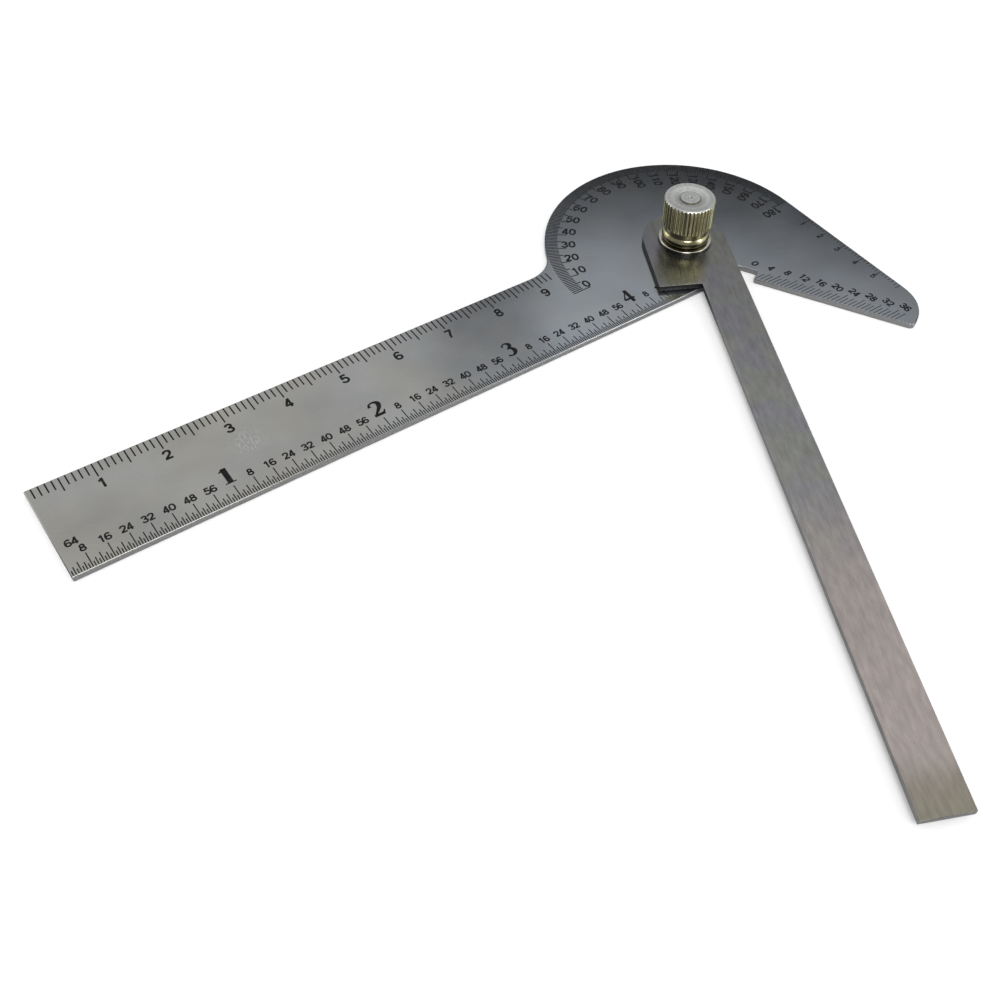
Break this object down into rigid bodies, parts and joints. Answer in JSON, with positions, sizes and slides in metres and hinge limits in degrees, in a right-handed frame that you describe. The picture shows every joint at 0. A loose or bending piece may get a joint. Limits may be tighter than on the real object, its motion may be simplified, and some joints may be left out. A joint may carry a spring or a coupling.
{
  "type": "multi-function center finder",
  "caption": "Flat steel rule with a protractor head and a drill-point tail, a swinging blade on the pivot stud and a knurled clamp knob, for marking centres and angles.",
  "frame": {"origin": "on the pivot axis, at the back face of the rule", "axes": "+Z along the pivot stud towards the clamp knob, -X along the rule to its zero end, +Y towards the millimetre edge"},
  "size_m": [0.1462, 0.1357, 0.0107],
  "materials": {
    "satin_steel": "satin stainless, etched scales",
    "brushed_blade": "brushed lengthwise",
    "turned_steel": "turned",
    "washer_steel": "plain",
    "plated_brass": "nickel plated, straight knurl"
  },
  "bodies": {
    "frame": {"rule_frame": "satin_steel", "pivot_stud": "turned_steel"},
    "arm": {"swing_arm": "brushed_blade"},
    "washer": {"washer": "washer_steel"},
    "knob": {"clamp_knob": "plated_brass"}
  },
  "joints": [
    {"name": "arm_swing", "type": "hinge", "parent": "frame", "child": "arm", "pos_m": [0, 0, 0.00153], "axis": [0, 0, 1], "continuous": true},
    {"name": "knob_lift", "type": "slide", "parent": "frame", "child": "washer", "axis": [0, 0, 1], "range_m": [0, 0.0021]},
    {"name": "knob_turn", "type": "hinge", "parent": "washer", "child": "knob", "pos_m": [0, 0, 0.00269], "axis": [0, 0, 1], "range_deg": [0, 1080]}
  ],
  "couplings": [
    {"joint": "knob_turn", "follows": "knob_lift", "rad_per_m": 8975.9}
  ]
}
